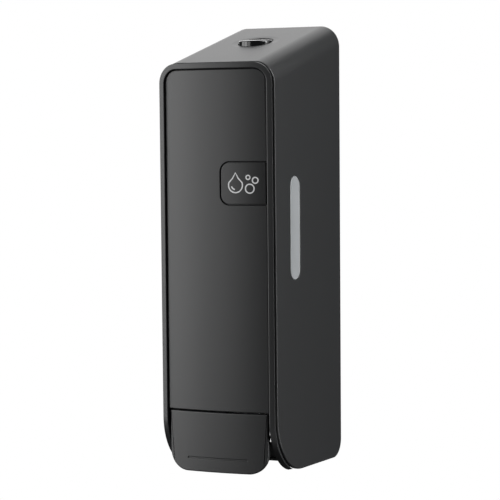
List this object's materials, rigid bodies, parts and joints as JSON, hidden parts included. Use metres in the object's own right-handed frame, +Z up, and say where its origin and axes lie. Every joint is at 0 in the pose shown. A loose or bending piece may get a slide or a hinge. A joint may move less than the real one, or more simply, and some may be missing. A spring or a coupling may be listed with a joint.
{
  "type": "wall mounted soap dispenser",
  "caption": "Tall black wall soap dispenser: sloping cover hinged at the bottom, push lever, lift pump and inverted refill bottle, side level windows and top release button.",
  "frame": {"origin": "centre of the four wall screws, on the wall's face", "axes": "+X to the right seen from the front, +Y into the wall, +Z up"},
  "size_m": [0.075, 0.1002, 0.2641],
  "materials": {
    "cover_abs": "fine satin moulded ABS",
    "frame_abs": "satin moulded ABS",
    "panel_abs": "satin moulded ABS",
    "lever_abs": "satin moulded ABS",
    "shroud_abs": "satin moulded ABS",
    "button_gloss": "polished moulded ABS",
    "label_gloss": "smooth printed plastic",
    "window_frosted": "frosted translucent polycarbonate",
    "wall_plate_abs": "moulded ABS",
    "shelf_abs": "moulded ABS",
    "guide_abs": "moulded ABS",
    "bottle_hdpe": "translucent blow-moulded polyethylene",
    "cap_pp": "moulded polypropylene",
    "pump_pp": "moulded polypropylene",
    "nozzle_pp": "moulded polypropylene",
    "gasket_rubber": "moulded rubber",
    "seal_rubber": "moulded nitrile rubber",
    "valve_silicone": "moulded silicone",
    "ball_steel": "polished stainless steel ball",
    "spring_steel": "drawn stainless wire",
    "pin_steel": "ground steel rod",
    "screw_steel": "zinc plated steel",
    "yoke_pom": "moulded acetal",
    "hook_pom": "moulded acetal"
  },
  "bodies": {
    "wall_unit": {"wall_plate": "wall_plate_abs", "bottle_shelf": "shelf_abs", "shelf_screws": "screw_steel", "bottle": "bottle_hdpe", "bottle_cap": "cap_pp", "neck_gasket": "gasket_rubber", "pump_body": "pump_pp", "valve_cage": "pump_pp", "inlet_ball": "ball_steel"},
    "pump_slider": {"nozzle": "nozzle_pp", "piston": "pump_pp", "piston_seal": "seal_rubber", "outlet_valve": "valve_silicone", "nozzle_ring": "nozzle_pp", "pump_spring": "spring_steel"},
    "cover": {"cover_shell": "cover_abs", "hinge_pins": "pin_steel", "front_frame": "frame_abs", "front_panel": "panel_abs", "label_tile": "label_gloss", "window_left": "window_frosted", "window_right": "window_frosted", "cover_screws": "screw_steel", "lower_shroud": "shroud_abs", "button_guide": "guide_abs", "lever_pin": "pin_steel"},
    "lever": {"push_lever": "lever_abs", "lever_yoke": "yoke_pom", "yoke_screws": "screw_steel"},
    "release": {"release_button": "button_gloss", "button_spring": "spring_steel", "latch_hook": "hook_pom", "hook_screw": "screw_steel"}
  },
  "joints": [
    {"name": "cover_hinge", "type": "hinge", "parent": "wall_unit", "child": "cover", "pos_m": [0, -0.012, -0.121], "axis": [1, 0, 0], "range_deg": [0, 90]},
    {"name": "lever_press", "type": "hinge", "parent": "cover", "child": "lever", "pos_m": [0, -0.085, -0.102], "axis": [1, 0, 0], "range_deg": [0, 14], "stiffness_Nm_per_rad": 0.6, "springref_deg": -5.73},
    {"name": "pump_lift", "type": "slide", "parent": "wall_unit", "child": "pump_slider", "axis": [0, 0, 1], "range_m": [0, 0.0086], "deforming": ["pump_spring"]},
    {"name": "button_press", "type": "slide", "parent": "cover", "child": "release", "axis": [0, 0, -1], "range_m": [0, 0.003], "stiffness_N_per_m": 400, "springref_m": -0.003, "deforming": ["button_spring"]}
  ],
  "couplings": [
    {"joint": "pump_lift", "follows": "lever_press", "m_per_rad": 0.035}
  ]
}
